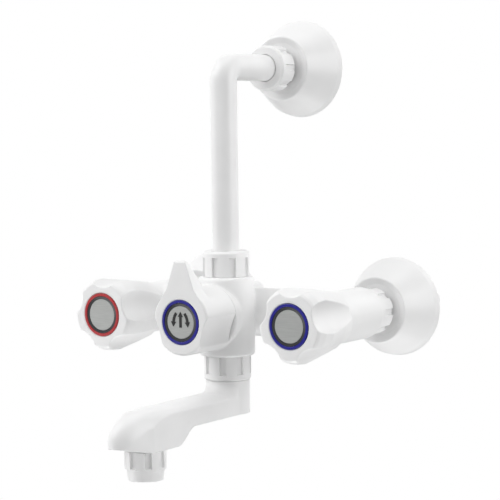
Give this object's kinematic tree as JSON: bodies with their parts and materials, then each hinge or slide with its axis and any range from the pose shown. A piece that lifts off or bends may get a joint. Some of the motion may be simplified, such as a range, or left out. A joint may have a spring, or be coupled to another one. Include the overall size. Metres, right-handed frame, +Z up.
{
  "type": "wall_mixer_tap",
  "caption": "Wall mixer tap in white plastic: lobed hot and cold knobs, pointer diverter, swivel spout, L-shaped riser to a wall outlet and bell flanges.",
  "frame": {"origin": "On the wall's face, midway between the two inlets, at the height of the side knobs.", "axes": "+X to the right along the wall as seen from the room, +Y into the wall, +Z up."},
  "size_m": [0.2178, 0.2694, 0.2935],
  "materials": {
    "white_plastic": "semi-gloss moulded",
    "inner_plastic": "natural acetal",
    "badge_grey": "satin",
    "bezel_grey": "gloss",
    "mark_black": "printed",
    "red_plastic": "gloss",
    "blue_plastic": "gloss",
    "seal_rubber": "moulded",
    "steel": "plain"
  },
  "bodies": {
    "tap_body": {"cold_flange": "white_plastic", "cold_headwork": "inner_plastic", "cold_headwork_ring": "seal_rubber", "cold_inlet_leg": "white_plastic", "cold_tail_pipe": "white_plastic", "cold_union_nut": "white_plastic", "cold_union_washer": "seal_rubber", "diverter_bonnet": "inner_plastic", "diverter_bonnet_ring": "seal_rubber", "hot_flange": "white_plastic", "hot_headwork": "inner_plastic", "hot_headwork_ring": "seal_rubber", "hot_inlet_leg": "white_plastic", "hot_tail_pipe": "white_plastic", "hot_union_nut": "white_plastic", "hot_union_washer": "seal_rubber", "mixer_body": "white_plastic", "outlet_flange": "white_plastic", "outlet_leg": "white_plastic", "outlet_union_nut": "white_plastic", "outlet_union_washer": "seal_rubber", "riser_bend": "white_plastic", "riser_nut": "white_plastic", "riser_washer": "seal_rubber", "spout_nut": "white_plastic"},
    "hot_spindle_set": {"hot_spindle": "inner_plastic", "hot_spindle_rings": "seal_rubber", "hot_spindle_clip": "steel", "hot_knob": "white_plastic", "hot_knob_screw": "steel", "hot_index_ring": "red_plastic", "hot_bezel": "bezel_grey", "hot_badge": "badge_grey"},
    "cold_spindle_set": {"cold_spindle": "inner_plastic", "cold_spindle_rings": "seal_rubber", "cold_spindle_clip": "steel", "cold_knob": "white_plastic", "cold_knob_screw": "steel", "cold_index_ring": "blue_plastic", "cold_bezel": "bezel_grey", "cold_badge": "badge_grey"},
    "hot_jumper_set": {"hot_jumper": "inner_plastic", "hot_valve_seal": "seal_rubber"},
    "cold_jumper_set": {"cold_jumper": "inner_plastic", "cold_valve_seal": "seal_rubber"},
    "diverter_set": {"diverter_spindle": "inner_plastic", "diverter_spindle_rings": "seal_rubber", "diverter_spindle_clip": "steel", "diverter_knob": "white_plastic", "diverter_knob_screw": "steel", "diverter_index_ring": "blue_plastic", "diverter_bezel": "bezel_grey", "diverter_badge": "badge_grey", "diverter_arrows": "mark_black"},
    "spout_set": {"spout": "white_plastic", "spout_neck_rings": "seal_rubber", "spout_swivel_ring": "inner_plastic", "nozzle_nut": "white_plastic", "nozzle_washer": "seal_rubber", "flow_straightener": "inner_plastic"}
  },
  "joints": [
    {"name": "hot_turn", "type": "hinge", "parent": "tap_body", "child": "hot_spindle_set", "pos_m": [-0.075, -0.11, 0], "axis": [0, -1, 0], "range_deg": [0, 270]},
    {"name": "hot_lift", "type": "slide", "parent": "tap_body", "child": "hot_jumper_set", "axis": [0, -1, 0], "range_m": [0, 0.003]},
    {"name": "cold_turn", "type": "hinge", "parent": "tap_body", "child": "cold_spindle_set", "pos_m": [0.075, -0.11, 0], "axis": [0, -1, 0], "range_deg": [0, 270]},
    {"name": "cold_lift", "type": "slide", "parent": "tap_body", "child": "cold_jumper_set", "axis": [0, -1, 0], "range_m": [0, 0.003]},
    {"name": "diverter_turn", "type": "hinge", "parent": "tap_body", "child": "diverter_set", "pos_m": [0, -0.12, 0], "axis": [0, -1, 0], "range_deg": [-60, 60]},
    {"name": "spout_swivel", "type": "hinge", "parent": "tap_body", "child": "spout_set", "pos_m": [0, -0.0964, -0.04], "axis": [0, 0, 1], "range_deg": [-110, 110]}
  ],
  "couplings": [
    {"joint": "hot_lift", "follows": "hot_turn", "m_per_rad": 0.000636},
    {"joint": "cold_lift", "follows": "cold_turn", "m_per_rad": 0.000636}
  ]
}
